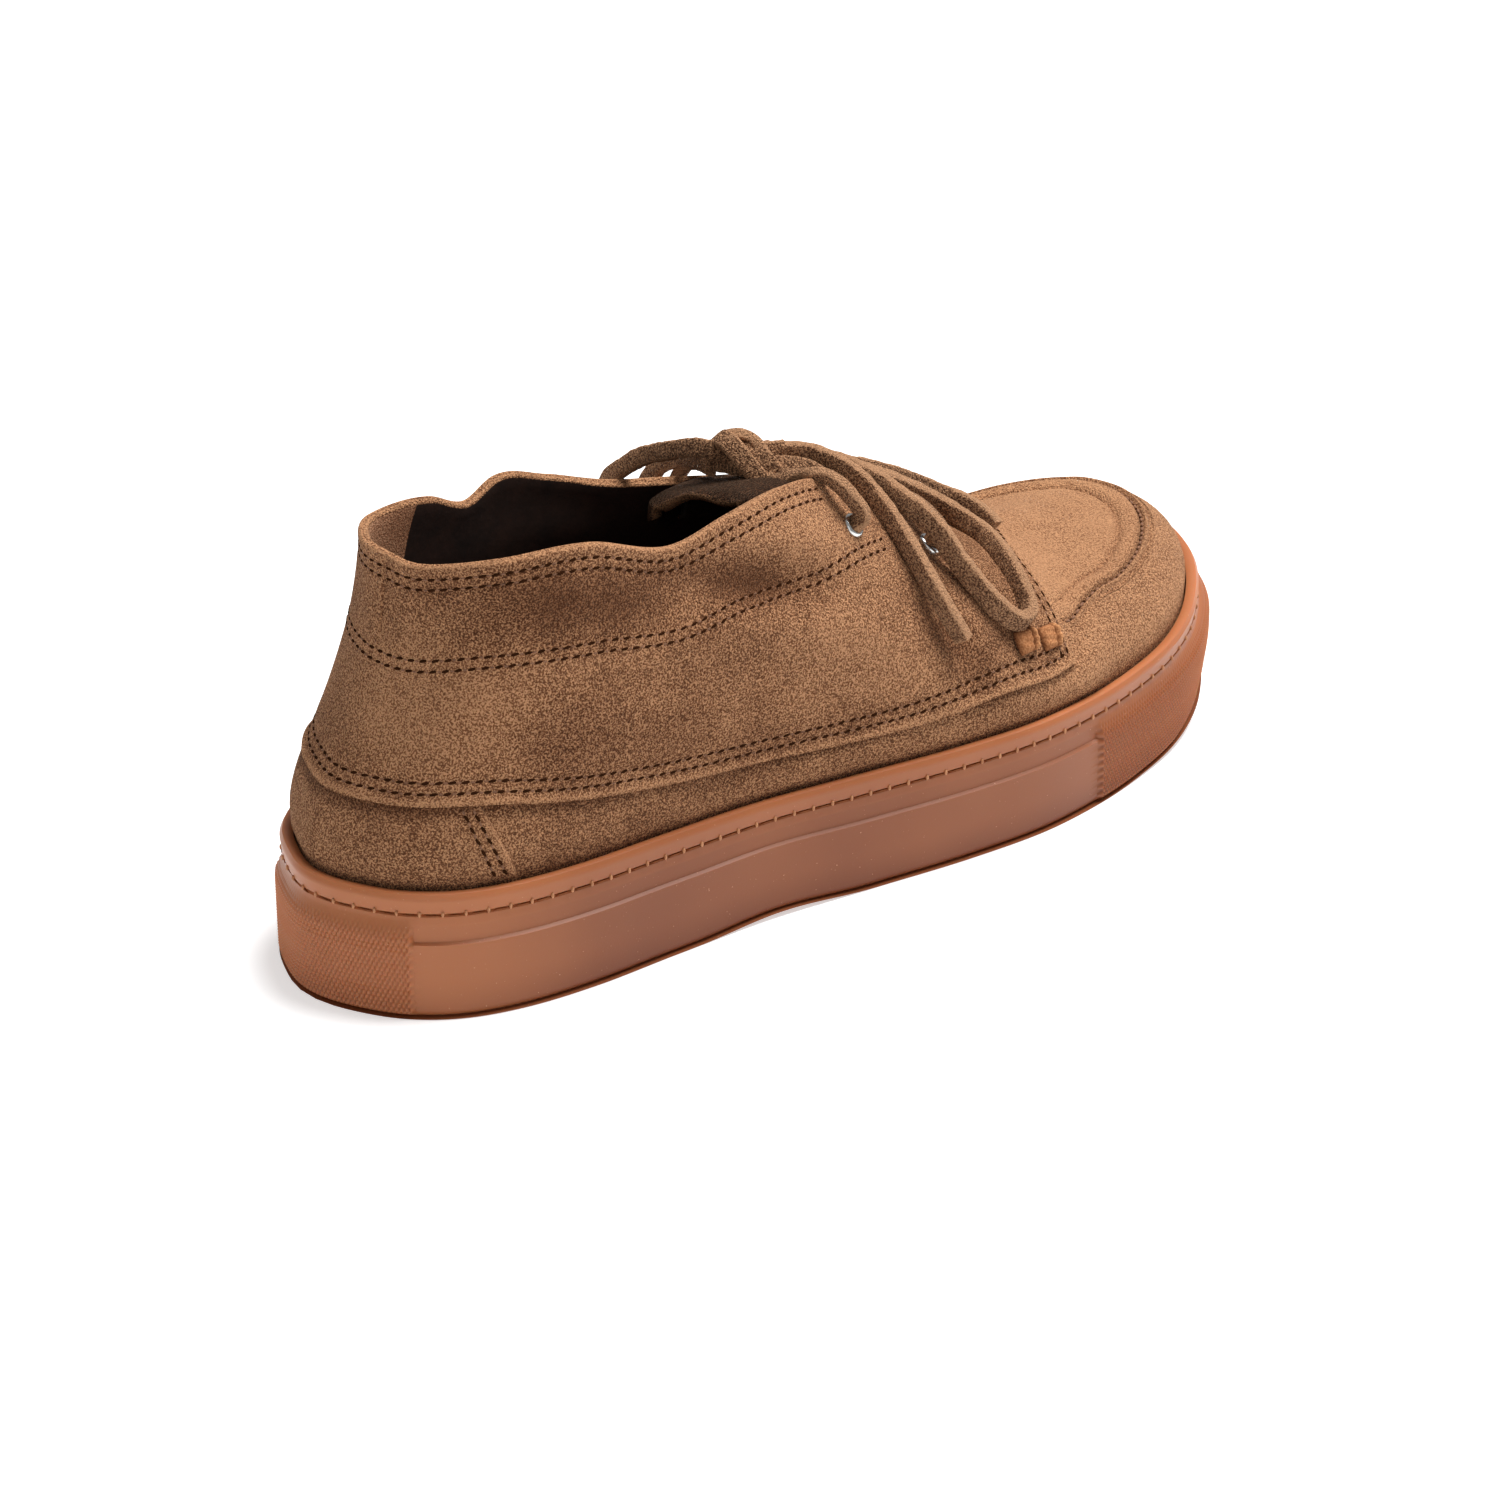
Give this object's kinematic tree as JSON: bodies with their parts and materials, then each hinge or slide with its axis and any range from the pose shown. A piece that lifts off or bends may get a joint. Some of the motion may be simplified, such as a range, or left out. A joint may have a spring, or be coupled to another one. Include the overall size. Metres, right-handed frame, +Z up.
{
  "type": "suede moc-toe chukka shoe on a moulded cup sole",
  "caption": "Low brown suede chukka shoe for the right foot, with a moc toe, tied suede thong lace, metal eyelets and a ribbed gum cup sole, standing empty.",
  "frame": {"origin": "on the floor under the ball-side edge of the arch, at mid-length of the sole and on the line through heel and toe", "axes": "+X towards the toe, +Z up, +Y towards the inner (medial) side of this right shoe, which is the wearer's left"},
  "size_m": [0.3034, 0.1108, 0.1136],
  "materials": {
    "gum_rubber": "satin brown gum rubber, ribbed bumpers at heel and toe",
    "suede": "matte brushed suede",
    "lining": "matte dark brown",
    "eyelet_nickel": "bright rolled metal",
    "thong_leather": "smooth puffed leather",
    "lace_suede": "matte square-cut suede thong"
  },
  "bodies": {
    "root": {"outsole": "gum_rubber", "upper": "suede", "tongue": "suede", "insole": "lining", "eyelet_lateral_upper": "eyelet_nickel", "eyelet_lateral_lower": "eyelet_nickel", "eyelet_medial_upper": "eyelet_nickel", "eyelet_medial_lower": "eyelet_nickel", "thong_lateral_rear": "thong_leather", "thong_lateral_front": "thong_leather", "thong_medial_rear": "thong_leather", "thong_medial_front": "thong_leather", "lace_knot": "lace_suede", "lace_neck_lateral": "lace_suede", "lace_neck_medial": "lace_suede", "lace_bar": "lace_suede", "lace_end_lateral": "lace_suede", "lace_end_medial": "lace_suede", "lace_loop_lateral": "lace_suede", "lace_loop_medial": "lace_suede"}
  },
  "joints": []
}
